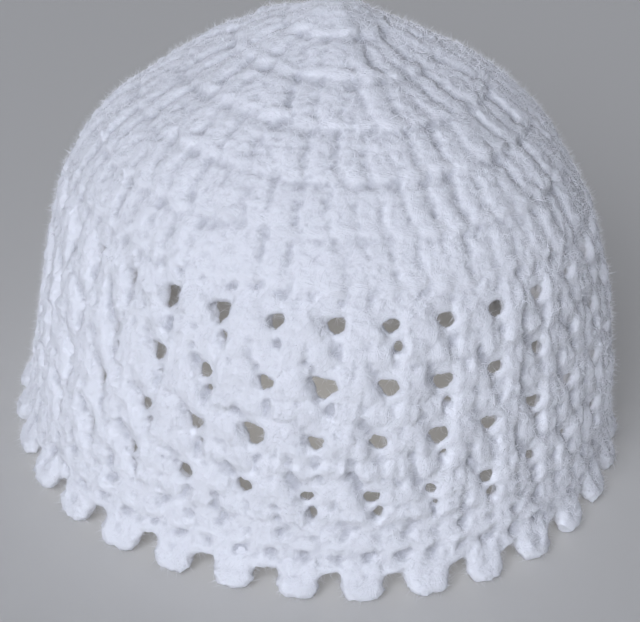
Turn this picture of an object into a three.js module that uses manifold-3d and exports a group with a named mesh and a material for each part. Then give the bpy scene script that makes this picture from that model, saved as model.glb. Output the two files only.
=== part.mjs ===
// Baby beanie, crocheted in rounds from the top down and standing on its rim: a domed crown of six
// rounds, an openwork band of raised ribs and eyelets, a plain brim and a picot edging.
// Millimetres, +Z up. The origin is the centre of the rim, on the surface that the hat stands on.
// Azimuths are counted about Z from the front of the hat, which faces -Y.
import * as THREE from 'three';
import { mergeVertices } from 'three/addons/utils/BufferGeometryUtils.js';
import Module from 'manifold-3d';

// Outline: the outer face of the fabric, in one curve from the apex out over the crown and down
// the side to the rim. The two handles set how the crown spreads and how the side flares.
const RIM_RADIUS = 57;
const HEIGHT = 81;
const CROWN_HANDLE = { radius: 51.7, height: 60.5 };
const SIDE_HANDLE = { radius: 48.2, height: 52.4 };
const LEAN = { x: -1.3, y: 1.7 };  // how far the soft crown's apex settles left and back

// Fabric, with places along it measured down the outside from the apex.
const WALL = 3.2;
const JOIN_GAP = 0.3;
const CROWN_ROUND = 9.7;
const CROWN_ROUNDS = 6;
const OPENWORK_ROUND = 9.35;
const OPENWORK_ROUNDS = 4;
const BRIM_ROUND = 3.5;
const BRIM_ROUNDS = 2;
const CROWN_END = CROWN_ROUNDS * CROWN_ROUND;
const BAND_END = CROWN_END + OPENWORK_ROUNDS * OPENWORK_ROUND;
const BRIM_END = BAND_END + BRIM_ROUNDS * BRIM_ROUND;

// Relief of the outer face
const ROUND_GROOVE = 0.8;  // depth of the groove where one round meets the next
const CROWN_CREST = 0.8;  // how far down a crown round its chain edge stands out
const BRIM_CREST = 0.5;  // how far down a brim round its stitches stand out
const RIB_RELIEF = 1.2;
const RIB_FLANK = 0.07;  // width of a rib's sloping side, in repeats
const RIB_CREST = 0.3;  // width of a rib's crest, in repeats
const RIB_FROM_EYELET = 0.45;  // rib's middle to the right of the eyelet's, in repeats

// Repeat round the hat
const REPEATS = 33;
const PITCH = (2 * Math.PI) / REPEATS;
const CROWN_SIDES = 44;
const BRIM_SIDES = 44;
const EYELET_AZIMUTH = THREE.MathUtils.degToRad(-41.7);  // an eyelet of the first openwork round
const PICOT_AZIMUTH = THREE.MathUtils.degToRad(-55.8);
const SPIRAL_PER_ROUND = THREE.MathUtils.degToRad(-1.1);  // each openwork round starts further left

// Eyelet: a triangle pointing down, cut through the fabric below the edge of the round above it.
const EYELET = { width: 3.4, height: 3.6, tipShift: 0.8, fromRoundTop: 3.3, cutDepth: 9 };

// Picot: a flattened knob that flares out from the brim and ends in a flat foot.
const PICOT_SIDES = 8;
const PICOT_THICKNESS = 0.56;  // of its width
const PICOT_FLARE = THREE.MathUtils.degToRad(23);  // outwards from the fabric's own slope
const PICOT_SECTION = [
  { up: 0, radius: 2.5 },
  { up: 0.38, radius: 3.85 },
  { up: 1, radius: 2.9 },
];

const yarn = new THREE.MeshStandardMaterial({ color: 0xeeeef4, roughness: 0.95, metalness: 0 });

const meridian = new THREE.CubicBezierCurve(
  new THREE.Vector2(0, HEIGHT),
  new THREE.Vector2(CROWN_HANDLE.radius, CROWN_HANDLE.height),
  new THREE.Vector2(SIDE_HANDLE.radius, SIDE_HANDLE.height),
  new THREE.Vector2(RIM_RADIUS, 0),
);
const MERIDIAN_LENGTH = meridian.getLength();

/** Direction down the fabric at a place along it, in the plane (radius, height). */
const wayDown = (down) => meridian.getTangentAt(down / MERIDIAN_LENGTH);

/** Point in the plane (radius, height) that lies a depth under the fabric's outer face. */
function fabricPoint(down, depth) {
  const tangent = wayDown(down);
  const inward = new THREE.Vector2(tangent.y, -tangent.x);
  return meridian.getPointAt(down / MERIDIAN_LENGTH).addScaledVector(inward, depth);
}

/** Outer face of rounds between the given edges: a crest in each, and a groove at each edge. */
function roundsFace(edges, crest) {
  const places = [];
  for (let i = 1; i < edges.length; i++) {
    places.push({ down: THREE.MathUtils.lerp(edges[i - 1], edges[i], crest), depth: 0 });
    places.push({ down: edges[i], depth: ROUND_GROOVE });
  }
  return places;
}

/** Section points from places listed from the top down: the inside down, then the outside up. */
function wallSection(inside, outside) {
  const places = [...inside.map((down) => ({ down, depth: WALL })), ...outside.toReversed()];
  return places.map(({ down, depth }) => fabricPoint(down, depth));
}

/** Places that part a stretch of the fabric evenly, with both ends. */
const evenly = (from, to, parts) =>
  Array.from({ length: parts + 1 }, (_, i) => THREE.MathUtils.lerp(from, to, i / parts));

/** Solid of a closed section turned about Z. */
const turned = (section, sides) => new THREE.LatheGeometry(section, sides).rotateX(Math.PI / 2);

/** Domed top: closed at the apex, with its section from the axis to the axis. */
function crownGeometry() {
  const edges = evenly(0, CROWN_END - JOIN_GAP / 2, CROWN_ROUNDS);
  const apexOutside = new THREE.Vector2(0, HEIGHT);
  const apexInside = new THREE.Vector2(0, HEIGHT - WALL);
  const section = wallSection(edges.slice(1), roundsFace(edges, CROWN_CREST));
  return turned([apexInside, ...section, apexOutside], CROWN_SIDES);
}

/** Plain ring of short rounds below the openwork. */
function brimGeometry() {
  const edges = evenly(BAND_END + JOIN_GAP / 2, BRIM_END, BRIM_ROUNDS);
  const outside = [{ down: edges[0], depth: ROUND_GROOVE }, ...roundsFace(edges, BRIM_CREST)];
  const section = wallSection([edges[0], BRIM_END], outside);
  return turned([...section, section[0]], BRIM_SIDES);
}

/** Azimuth, before the repeats are counted, that the openwork's spiral gives to a place. */
const spiral = (down) => EYELET_AZIMUTH + (SPIRAL_PER_ROUND * (down - CROWN_END)) / OPENWORK_ROUND;

/** Ring with a raised rib for each repeat, before its eyelets are cut. */
function ribbedRing() {
  const foot = RIB_CREST / 2 + RIB_FLANK;
  const columns = [
    { turn: RIB_FROM_EYELET - foot, recess: RIB_RELIEF },
    { turn: RIB_FROM_EYELET - RIB_CREST / 2, recess: 0 },
    { turn: RIB_FROM_EYELET + RIB_CREST / 2, recess: 0 },
    { turn: RIB_FROM_EYELET + foot, recess: RIB_RELIEF },
  ];
  const top = CROWN_END + JOIN_GAP / 2;
  const bottom = BAND_END - JOIN_GAP / 2;
  const inside = evenly(top, bottom, OPENWORK_ROUNDS / 2).map((down) => ({ down, outer: false }));
  const outside = evenly(bottom, top, OPENWORK_ROUNDS).map((down) => ({ down, outer: true }));
  const loop = [...inside, ...outside, inside[0]];

  const section = loop.map(({ down, outer }) => fabricPoint(down, outer ? 0 : WALL));
  const geometry = new THREE.LatheGeometry(section, REPEATS * columns.length);
  const position = geometry.attributes.position;
  for (let i = 0; i < position.count; i++) {
    const { down, outer } = loop[i % loop.length];
    const column = Math.floor(i / loop.length);
    const { turn, recess } = columns[column % columns.length];
    const repeat = Math.floor(column / columns.length) % REPEATS;
    const azimuth = spiral(down) + (repeat + turn) * PITCH;
    const { x: radius, y: height } = fabricPoint(down, outer ? recess : WALL);
    position.setXYZ(i, radius * Math.sin(azimuth), -radius * Math.cos(azimuth), height);
  }
  return geometry;
}

/** Prism that cuts one eyelet at the front, through the fabric along its outward direction. */
function eyeletCutter(down) {
  const { width, height, tipShift, cutDepth } = EYELET;
  const outline = new THREE.Shape([
    new THREE.Vector2(-width / 2, height / 2),
    new THREE.Vector2(tipShift, -height / 2),
    new THREE.Vector2(width / 2, height / 2),
  ]);
  const tangent = wayDown(down);
  const middle = fabricPoint(down, WALL / 2);
  const frame = new THREE.Matrix4().makeBasis(
    new THREE.Vector3(1, 0, 0),
    new THREE.Vector3(0, tangent.x, -tangent.y),
    new THREE.Vector3(0, tangent.y, tangent.x),
  );
  const prism = new THREE.ExtrudeGeometry(outline, { depth: cutDepth, bevelEnabled: false });
  prism.translate(0, 0, -cutDepth / 2).applyMatrix4(frame);
  return prism.translate(0, -middle.x, middle.y);
}

const wasm = await Module();
wasm.setup();

/** Solid of a closed geometry, for cutting. */
function toSolid(geometry) {
  const bare = geometry.clone();
  bare.deleteAttribute('normal');
  bare.deleteAttribute('uv');
  const merged = mergeVertices(bare);
  return new wasm.Manifold(new wasm.Mesh({
    numProp: 3,
    vertProperties: new Float32Array(merged.attributes.position.array),
    triVerts: new Uint32Array(merged.index.array),
  }));
}

/** Geometry of a solid. */
function toGeometry(solid) {
  const { vertProperties, triVerts } = solid.getMesh();
  const geometry = new THREE.BufferGeometry();
  geometry.setAttribute('position', new THREE.BufferAttribute(vertProperties, 3));
  geometry.setIndex(new THREE.BufferAttribute(triVerts, 1));
  geometry.computeVertexNormals();
  return geometry;
}

/** Ribbed ring with one eyelet at the left foot of each rib, in each openwork round. */
function openworkGeometry() {
  let band = toSolid(ribbedRing());
  for (let round = 0; round < OPENWORK_ROUNDS; round++) {
    const down = CROWN_END + round * OPENWORK_ROUND + EYELET.fromRoundTop;
    const cutter = eyeletCutter(down);
    for (let repeat = 0; repeat < REPEATS; repeat++) {
      const turnedCutter = cutter.clone().rotateZ(spiral(down) + repeat * PITCH);
      band = band.subtract(toSolid(turnedCutter));
    }
  }
  return toGeometry(band);
}

/** Picot at the front, hanging from the middle of the brim's lower edge, flat where it stands. */
function picotGeometry() {
  const top = BRIM_END + JOIN_GAP;
  const hang = fabricPoint(top, WALL / 2);
  const slope = wayDown(top);
  const outset = Math.tan(PICOT_FLARE);  // for each millimetre along the fabric
  const length = hang.y / (-slope.y - outset * slope.x);
  const side = PICOT_SECTION.map(({ up, radius }) => new THREE.Vector2(radius, up * length));
  const section = [new THREE.Vector2(0, 0), ...side, new THREE.Vector2(0, length)];
  const geometry = new THREE.LatheGeometry(section, PICOT_SIDES).scale(1, 1, PICOT_THICKNESS);
  geometry.translate(0, -length, 0);
  geometry.applyMatrix4(new THREE.Matrix4().makeShear(0, 0, 0, -outset, 0, 0));
  geometry.rotateX(Math.PI / 2 - Math.atan2(slope.x, -slope.y));
  return standing(geometry.translate(0, -hang.x, hang.y));
}

/** Geometry with what reaches below the surface, or nearly down to it, pressed flat onto it. */
function standing(geometry) {
  const reach = 1;
  const position = geometry.attributes.position;
  for (let i = 0; i < position.count; i++) {
    if (position.getZ(i) < reach) {
      position.setZ(i, 0);
    }
  }
  return geometry;
}

/** Geometry moved the way the hat leans, more the higher it is. */
function leaning(geometry) {
  const position = geometry.attributes.position;
  for (let i = 0; i < position.count; i++) {
    const share = (position.getZ(i) / HEIGHT) ** 2;
    position.setX(i, position.getX(i) + LEAN.x * share);
    position.setY(i, position.getY(i) + LEAN.y * share);
  }
  return geometry;
}

/** Named piece of the hat, in its yarn. */
function piece(name, geometry) {
  const mesh = new THREE.Mesh(geometry, yarn.clone());
  mesh.name = name;
  return mesh;
}

const beanie = new THREE.Group();
beanie.add(piece('crown', leaning(crownGeometry())));
beanie.add(piece('openwork_band', leaning(openworkGeometry())));
beanie.add(piece('brim_band', leaning(brimGeometry())));

const picotEdging = new THREE.Group();
const picot = picotGeometry();
for (let i = 0; i < REPEATS; i++) {
  const mesh = piece(`picot_${String(i + 1).padStart(2, '0')}`, picot);
  mesh.rotation.z = PICOT_AZIMUTH + i * PITCH;
  picotEdging.add(mesh);
}
beanie.add(picotEdging);

export default beanie;
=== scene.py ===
"""Baby beanie in white yarn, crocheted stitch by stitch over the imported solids.

Each round of the hat is one strand of yarn that runs through its stitches as the hook leads it,
from the magic ring at the apex down to the picot edging. Stitches are laid out in millimetres on
the fabric (across, down, out) and the finished meshes are in metres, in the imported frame.
"""

import logging
import math
from dataclasses import dataclass, field
from enum import Enum

import bpy
import numpy as np
from mathutils import Matrix, Vector


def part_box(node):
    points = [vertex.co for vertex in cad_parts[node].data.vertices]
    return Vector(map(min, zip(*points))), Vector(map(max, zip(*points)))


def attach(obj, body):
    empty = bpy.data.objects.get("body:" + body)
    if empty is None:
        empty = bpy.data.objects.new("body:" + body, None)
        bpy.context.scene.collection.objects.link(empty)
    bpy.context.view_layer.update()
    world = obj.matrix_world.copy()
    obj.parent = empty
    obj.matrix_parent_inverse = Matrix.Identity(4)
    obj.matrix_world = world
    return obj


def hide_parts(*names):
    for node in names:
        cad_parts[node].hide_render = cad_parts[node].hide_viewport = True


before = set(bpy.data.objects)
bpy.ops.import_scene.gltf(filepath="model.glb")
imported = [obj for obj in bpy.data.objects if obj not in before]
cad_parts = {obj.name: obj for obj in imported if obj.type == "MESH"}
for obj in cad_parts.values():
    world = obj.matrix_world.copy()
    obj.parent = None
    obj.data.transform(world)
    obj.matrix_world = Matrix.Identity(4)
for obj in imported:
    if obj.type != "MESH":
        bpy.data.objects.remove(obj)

MM = 0.001
TAU = 2 * math.pi
BODY = "root"
GIRTH = 3  # column of the yarn's girth in a stitch's rows
UP, STRAND_DEPTH, STRAND_GIRTH, STRAND_DOWN = 2, 3, 4, 5  # columns of a laid strand

Point = tuple[float, float, float]
Row = tuple[float, float, float, float]
Color = tuple[float, float, float, float]
Socket = bpy.types.NodeSocket

log = logging.getLogger("beanie")


# --- Fabric -------------------------------------------------------------------------------------


@dataclass
class Fabric:
    """Outer face of the hat's fabric: one curve turned about Z, leaning as the soft crown settles.

    Lengths are in millimetres, and azimuths are counted from the front, which faces -Y.
    """

    height: float = 81.0
    rim_radius: float = 57.0
    crown_handle: tuple[float, float] = (51.7, 60.5)
    side_handle: tuple[float, float] = (48.2, 52.4)
    lean: tuple[float, float] = (-1.3, 1.7)
    wave: float = 0.7  # how far the handmade face strays in and out
    waves: tuple[Point, ...] = ((3, 9, 0), (5, -13, 1))  # times round, run down, start
    calm: float = 20.0  # how far down from the apex the straying grows
    past_rim: float = 12.0  # how far the curve runs on straight past the rim
    samples: int = 1500
    scale: float = 1.0
    arc: np.ndarray = field(init=False, repr=False)
    curve: np.ndarray = field(init=False, repr=False)
    normal: np.ndarray = field(init=False, repr=False)

    def __post_init__(self) -> None:
        """Works out the curve by its length, with a straight end past the rim."""
        corners = np.array(
            [(0, self.height), self.crown_handle, self.side_handle, (self.rim_radius, 0)]
        )
        t = np.linspace(0, 1, self.samples)[:, None]
        s = 1 - t
        curve = s**3 * corners[0] + 3 * s**2 * t * corners[1]
        curve = curve + 3 * s * t**2 * corners[2] + t**3 * corners[3]
        last = curve[-1] - curve[-2]
        past = curve[-1] + self.past_rim * last / np.linalg.norm(last)
        self.curve = np.vstack([curve, past])
        steps = np.linalg.norm(np.diff(self.curve, axis=0), axis=1)
        self.arc = np.concatenate([[0], np.cumsum(steps)])
        tangent = np.gradient(self.curve, self.arc, axis=0)
        tangent /= np.linalg.norm(tangent, axis=1)[:, None]
        self.normal = np.stack([-tangent[:, 1], tangent[:, 0]], axis=1)

    def radius(self, down: np.ndarray | float) -> np.ndarray:
        """Radius of the outer face at a distance down it."""
        return np.interp(down, self.arc, self.curve[:, 0])

    def place(self, azimuth: np.ndarray, down: np.ndarray, out: np.ndarray) -> np.ndarray:
        """Points on the fabric.

        Args:
            azimuth: Radians from the front.
            down: Distance down the outer face from the apex.
            out: Distance outwards from that face.

        Returns:
            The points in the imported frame, in millimetres, a row each.
        """
        stray = sum(np.sin(n * azimuth + down / run + start) for n, run, start in self.waves)
        out = out + self.wave * stray * np.clip(down / self.calm, 0, 1) / 2
        radius = self.radius(down) + out * np.interp(down, self.arc, self.normal[:, 0])
        up = np.interp(down, self.arc, self.curve[:, 1])
        up = up + out * np.interp(down, self.arc, self.normal[:, 1])
        share = (up / self.height) ** 2
        x = radius * np.sin(azimuth) + self.lean[0] * share
        y = -radius * np.cos(azimuth) + self.lean[1] * share
        return self.scale * np.stack([x, y, up], axis=1)


@dataclass(frozen=True)
class Gauge:
    """How the stitches sit on the fabric: repeats, where rounds end, and where columns start."""

    repeats: int = 33
    eyelet_azimuth: float = math.radians(-41.7)
    rib_from_eyelet: float = 0.38  # of a repeat
    picot_azimuth: float = math.radians(-55.8)
    spiral_per_round: float = math.radians(-1.1)
    crown_edges: tuple[float, ...] = (8.3, 18.0, 27.8, 37.3, 46.8, 55.6)
    openwork_edges: tuple[float, ...] = (59.2, 68.7, 78.1, 87.6, 95.7)
    brim_edges: tuple[float, ...] = (99.0, 102.9)

    @property
    def repeat(self) -> float:
        """Angle of one repeat of the openwork."""
        return TAU / self.repeats

    def rib_azimuth(self, row: int) -> float:
        """Azimuth of a rib in an openwork round, counted from 0."""
        start = self.eyelet_azimuth + self.rib_from_eyelet * self.repeat
        return start + row * self.spiral_per_round


# --- Stitches -----------------------------------------------------------------------------------


@dataclass(frozen=True)
class Depths:
    """Where the strands of a stitch run, outwards from the fabric's outer face."""

    cover: float = -0.95
    front: float = -1.15
    tuck: float = -1.55
    core: float = -1.85
    back: float = -2.35


class Stitch(Enum):
    """The kinds of stitch in the hat."""

    DOUBLE = "double crochet"
    RIB = "front post double crochet"
    SINGLE = "single crochet"


def mirrored(rows: list[Row]) -> list[Row]:
    """The way back along the other side of a stitch."""
    return [(-across, down, out, girth) for across, down, out, girth in reversed(rows)]


@dataclass(frozen=True)
class StitchRoute:
    """Way of the yarn through one stitch, in (across, down, out, girth) from the edge above.

    Work goes across to the right and down, and a stitch ends behind its own chain link.
    """

    width: float
    height: float
    body: Depths
    edge: Depths
    spread: tuple[float, float] = (0.20, 0.20)  # of the width, to each leg, above and below
    splay: float = 1.0  # how much wider the upper legs stand at the very top
    puff: float = 0.0  # how far the legs bulge out halfway down
    reach: float = 0.34  # of the width, how far the yarn over reaches past the post's middle
    backing: tuple[float, float] = (0.46, 0.46)  # of the width, to the strands behind its sides
    heel: float = 0.3  # how far out the stitch comes where it meets its own chain link
    dip: float = 0.5  # how deep its legs come out from under the chain link above
    tight: float = 0.8  # girth of the yarn where it is pulled tight round a post
    slack: float = 0.9  # girth of the yarn behind the stitch

    def wrap(self) -> list[Row]:
        """Yarn over: from the last edge up across the front of the post, then behind it.

        Returns:
            The points, in the order of the yarn.
        """
        w, h, d, reach, tight = self.width, self.height, self.body, self.reach, self.tight
        return [
            (-0.80 * w, h - 2.4, self.edge.back, tight),
            (-0.48 * w, 0.5 * h + 1.4, d.core, tight),
            (-0.22 * w, 0.5 * h + 0.7, d.front, tight),
            (0.04 * w, 0.5 * h, d.cover, tight),
            (reach * w, 0.5 * h - 1.0, d.front - 0.2, tight),
            (reach * w, 0.5 * h - 1.9, d.back, tight),
        ]

    def high_wrap(self) -> list[Row]:
        """Steeper yarn over of a rib, across the upper part of its post.

        Returns:
            The points, in the order of the yarn.
        """
        w, h, d, tight = self.width, self.height, self.body, self.tight
        return [
            (-1.00 * w, h - 2.0, self.edge.back, tight),
            (-0.92 * w, 0.66 * h, self.edge.core, tight),
            (-0.54 * w, 0.40 * h, d.front - 0.5, tight),
            (-0.12 * w, 0.22 * h, d.cover, tight),
            (0.24 * w, 0.13 * h, d.front - 0.3, tight),
            (0.32 * w, 0.08 * h, d.back, tight),
        ]

    def loop(
        self,
        top: float,
        bottom: float,
        spread: float,
        splay: float = 1.0,
        dip: float = 0.0,
        heel: float = 0.0,
    ) -> list[Row]:
        """Loop drawn down the front: one leg down, a turn, and one leg back up.

        Args:
            top: Where the legs come to the front.
            bottom: Where the loop turns.
            spread: Distance of the legs from the post's middle, as a share of the width.
            splay: How much wider the legs stand at the top than below.
            dip: How much deeper the legs lie at the top.
            heel: How much further out the loop turns.

        Returns:
            The loop's points.
        """
        x, d, run = spread * self.width, self.body, bottom - top
        left = [
            (-0.8 * x * splay, top, d.tuck - dip, 0.95),
            (-x * (splay + 1) / 2, top + 0.3 * run, d.front + self.puff * 0.6 - dip, 1.0),
            (-x, top + 0.7 * run, d.front + self.puff, 1.0),
            (-0.6 * x, bottom, d.tuck + heel, 0.95),
        ]
        return left + mirrored(left)

    def rise(self) -> list[Row]:
        """Way behind the stitch down to its edge."""
        side, h, d = self.backing[1] * self.width, self.height, self.body
        return [(side, 0.60 * h, d.back, self.slack), (side, 0.86 * h, d.back, self.slack)]

    def link(self) -> list[Row]:
        """Chain link along the round's edge: its front strand, its end, and its back strand.

        Returns:
            The points, in the order of the yarn.
        """
        w, h, d, slack = self.width, self.height, self.edge, self.slack
        return [
            (-0.28 * w, h - 0.1, d.core, 0.75),
            (-0.02 * w, h + 0.3, d.front, 0.95),
            (0.40 * w, h - 0.05, d.cover, 1.05),
            (0.70 * w, h - 0.35, d.core, 0.75),
            (0.45 * w, h + 0.1, d.back, slack),
            (0.0, h - 0.1, d.back, slack),
        ]

    def double(self) -> list[Row]:
        """Double crochet: a wrap, a loop to half the height, a loop to the edge, and a link.

        Returns:
            The points, in the order of the yarn.
        """
        w, h, d, slack = self.width, self.height, self.body, self.slack
        side = -self.backing[0] * w
        rows = self.wrap()
        rows += [(0.12 * w, 0.14 * h, d.back, slack), (-0.06 * w, 0.0, d.core, slack)]
        rows += self.loop(0.9, 0.52 * h, self.spread[0], self.splay, self.dip)
        rows += [(0.06 * w, 0.0, d.core, slack), (side, 0.16 * h, d.back, slack)]
        rows += [(side, 0.42 * h, d.back, slack)]
        rows += self.loop(0.54 * h, h - 1.3, self.spread[1], heel=self.heel)
        return rows + self.rise() + self.link()

    def rib(self) -> list[Row]:
        """Front post double crochet: its first loop is drawn from behind the rib above it.

        Returns:
            The points, in the order of the yarn.
        """
        w, h, d, slack = self.width, self.height, self.body, self.slack
        behind = -2.2  # how far up the rib above its legs go round it
        rows = self.high_wrap()
        rows += [(0.1 * w, -1.0, d.back, slack), (-0.36 * w, behind, d.back, slack)]
        rows += self.loop(-0.9, 0.52 * h, self.spread[0], self.splay)
        rows += [(0.36 * w, behind, d.back, slack), (0.1 * w, -1.4, d.back, slack)]
        rows += [(0.0, 0.2 * h, d.back, slack), (-0.05 * w, 0.44 * h, d.back, slack)]
        rows += self.loop(0.54 * h, h - 1.4, self.spread[1])
        return rows + self.rise() + self.link()

    def single(self) -> list[Row]:
        """Single crochet: one loop whose legs part on their way to the edge, and a link.

        Returns:
            The points, in the order of the yarn.
        """
        w, h, d, slack, tight = self.width, self.height, self.body, self.slack, self.tight
        leg = [
            (-0.04 * w, 0.45, d.tuck, 0.7),
            (-0.12 * w, 0.38 * h, d.front, 0.75),
            (-0.22 * w, 0.68 * h, d.front - 0.1, 0.95),
            (-0.10 * w, h - 0.8, d.core, 0.85),
        ]
        rows = [(-0.55 * w, 0.75 * h, d.back, slack), (-0.50 * w, 0.25 * h, d.back, slack)]
        rows += [(-0.22 * w, 0.0, d.back, slack), (-0.03 * w, 0.0, d.core, tight)]
        rows += leg + mirrored(leg)
        rows += [(0.03 * w, 0.0, d.core, tight), (0.0, 0.55 * h, d.back, tight)]
        return rows + self.link()

    def rows(self, stitch: Stitch) -> np.ndarray:
        """Points of a stitch.

        Args:
            stitch: Its kind.

        Returns:
            The points, with columns across, down, out and girth.
        """
        make = {Stitch.DOUBLE: self.double, Stitch.RIB: self.rib, Stitch.SINGLE: self.single}
        return np.array(make[stitch]())


@dataclass(frozen=True)
class Cell:
    """Room of one stitch on the fabric, between the round's edge above and its own edge."""

    top: float
    edge: float
    base_azimuth: float
    head_azimuth: float
    crowd: float = 1.0  # how much narrower the room is at the top than the stitch
    pole: float = 0.6  # nearest to the apex that a point may lie

    def lay(self, fabric: Fabric, rows: np.ndarray, stray: np.ndarray) -> np.ndarray:
        """Lays a stitch's points on the fabric.

        Args:
            fabric: The fabric that they lie on.
            rows: The points, with columns across, down, out and girth.
            stray: How far each of them strays by hand, in the first three columns.

        Returns:
            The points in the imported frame, in millimetres, with columns for depth, girth and down.
        """
        across, down, out = (rows[:, :3] + stray).T
        share = np.clip(down / (self.edge - self.top), 0, 1)
        middle = self.base_azimuth + share * (self.head_azimuth - self.base_azimuth)
        narrow = self.crowd + (1 - self.crowd) * share
        place = self.top + down
        radius = np.maximum(fabric.radius(place), 1.0)
        azimuth = middle + across * narrow / radius
        points = fabric.place(azimuth, np.maximum(place, self.pole), out)
        return np.column_stack([points, out, rows[:, GIRTH], place])


@dataclass
class Hand:
    """The maker's hand: small seeded differences from one stitch to the next."""

    seed: int
    across: float = 0.26
    down: float = 0.26
    out: float = 0.17
    share_between_points: float = 0.5

    def __post_init__(self) -> None:
        """Starts the seeded random numbers."""
        self.random = np.random.default_rng(self.seed)

    def stray(self, count: int) -> np.ndarray:
        """Strays of a stitch's points: one for the whole stitch and a little for each point.

        Args:
            count: How many points the stitch has.

        Returns:
            How far each point strays across, down and out, a row each.
        """
        size = np.array([self.across, self.down, self.out])
        whole = self.random.normal(0, 1, (1, 3)).clip(-2, 2) * size
        each = self.random.normal(0, 1, (count, 3)).clip(-2, 2) * size
        return whole + each * self.share_between_points


# --- Yarn ---------------------------------------------------------------------------------------


def smooth_route(
    points: np.ndarray, straight: float, bend: float, steps: int = 8
) -> np.ndarray:
    """Smooth strand through points, with its samples close together where it bends.

    Args:
        points: Points to pass through, in millimetres, with any further columns.
        straight: Length between samples where the strand is straight.
        bend: Angle between samples where it bends, in radians.
        steps: How many times each span is divided before the samples are chosen.

    Returns:
        The samples, with the same columns.
    """
    ends = np.vstack([points[:1], points, points[-1:]])
    p0, p1, p2, p3 = ends[:-3], ends[1:-2], ends[2:-1], ends[3:]
    pieces = []
    for t in np.linspace(0, 1, steps + 1)[:-1]:
        even = 2 * p1 + (p2 - p0) * t + (2 * p0 - 5 * p1 + 4 * p2 - p3) * t**2
        pieces.append((even + (3 * p1 - p0 - 3 * p2 + p3) * t**3) / 2)
    dense = np.stack(pieces, axis=1).reshape(-1, points.shape[1])
    dense = np.vstack([dense, points[-1:]])
    step = np.diff(dense[:, :3], axis=0)
    length = np.linalg.norm(step, axis=1)
    way = step / np.maximum(length, 1e-9)[:, None]
    turn = np.arccos(np.clip((way[1:] * way[:-1]).sum(axis=1), -1, 1))
    cost = length / straight + np.concatenate([[0], turn]) / bend
    total = np.concatenate([[0], np.cumsum(cost)])
    wanted = np.linspace(0, total[-1], max(4, int(round(total[-1])) + 1))
    return np.stack([np.interp(wanted, total, column) for column in dense.T], axis=1)


def stretches(strand: np.ndarray, inside: np.ndarray, girth: float) -> list[np.ndarray]:
    """Stretches of a strand, for the neighbour that holds on to them.

    Args:
        strand: Its samples.
        inside: Which of them to keep.
        girth: Girth of the stretches, as a share of the strand's.

    Returns:
        The stretches, each with three samples or more.
    """
    index = np.flatnonzero(inside)
    if len(index) == 0:
        return []
    runs = np.split(index, np.flatnonzero(np.diff(index) > 1) + 1)
    thin = np.ones(strand.shape[1])
    thin[STRAND_GIRTH] = girth
    return [strand[run] * thin for run in runs if len(run) > 2]


def strand_mesh(name: str, strands: list[np.ndarray]) -> bpy.types.Object:
    """Object whose edges follow strands of yarn.

    Args:
        name: Its name.
        strands: Samples of each strand, in millimetres, with columns for depth, girth and down.

    Returns:
        The object, linked to the scene, with attributes depth and girth on its points.
    """
    points, edges, start = [], [], 0
    for strand in strands:
        count = len(strand)
        points.append(strand[:, :3] * MM)
        index = np.arange(start, start + count - 1)
        edges.append(np.stack([index, index + 1], axis=1))
        start += count
    mesh = bpy.data.meshes.new(name)
    mesh.from_pydata(np.concatenate(points).tolist(), np.concatenate(edges).tolist(), [])
    for column, label in ((STRAND_DEPTH, "depth"), (STRAND_GIRTH, "girth")):
        values = np.concatenate([strand[:, column] for strand in strands])
        layer = mesh.attributes.new(label, "FLOAT", "POINT")
        layer.data.foreach_set("value", values.astype(np.float32))
    made = bpy.data.objects.new(name, mesh)
    bpy.context.scene.collection.objects.link(made)
    return made


def make_plain(piece: bpy.types.Object) -> None:
    """Gives an object the mesh that its modifiers make, and removes them.

    Args:
        piece: The object.
    """
    seen = piece.evaluated_get(bpy.context.evaluated_depsgraph_get())
    mesh = bpy.data.meshes.new_from_object(seen)
    piece.modifiers.clear()
    old = piece.data
    piece.data = mesh
    bpy.data.meshes.remove(old)
    mesh.name = piece.name


class NodeWork:
    """Nodes of a tree of any kind, added and linked one by one."""

    def __init__(self, tree: bpy.types.NodeTree) -> None:
        """Takes the tree that the nodes go into."""
        self.tree = tree

    def add(self, kind: str, settings: dict | None = None, **inputs: object) -> bpy.types.Node:
        """Adds a node.

        Args:
            kind: Its type.
            settings: Its properties.
            **inputs: Its input sockets, named or numbered as i0, i1; a socket or a value each.

        Returns:
            The node.
        """
        node = self.tree.nodes.new(kind)
        for key, value in (settings or {}).items():
            setattr(node, key, value)
        for key, value in inputs.items():
            numbered = key[0] == "i" and key[1:].isdigit()
            socket = node.inputs[int(key[1:]) if numbered else key.replace("_", " ")]
            if isinstance(value, Socket):
                self.tree.links.new(value, socket)
            else:
                socket.default_value = value
        return node

    def math(self, operation: str, *values: object) -> Socket:
        """Adds a math node and returns its result."""
        inputs = {f"i{index}": value for index, value in enumerate(values)}
        return self.add("ShaderNodeMath", {"operation": operation}, **inputs).outputs[0]

    def vector(self, operation: str, **inputs: object) -> Socket:
        """Adds a vector math node and returns its result."""
        made = self.add("ShaderNodeVectorMath", {"operation": operation}, **inputs)
        return made.outputs["Value" if operation == "DOT_PRODUCT" else "Vector"]


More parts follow.
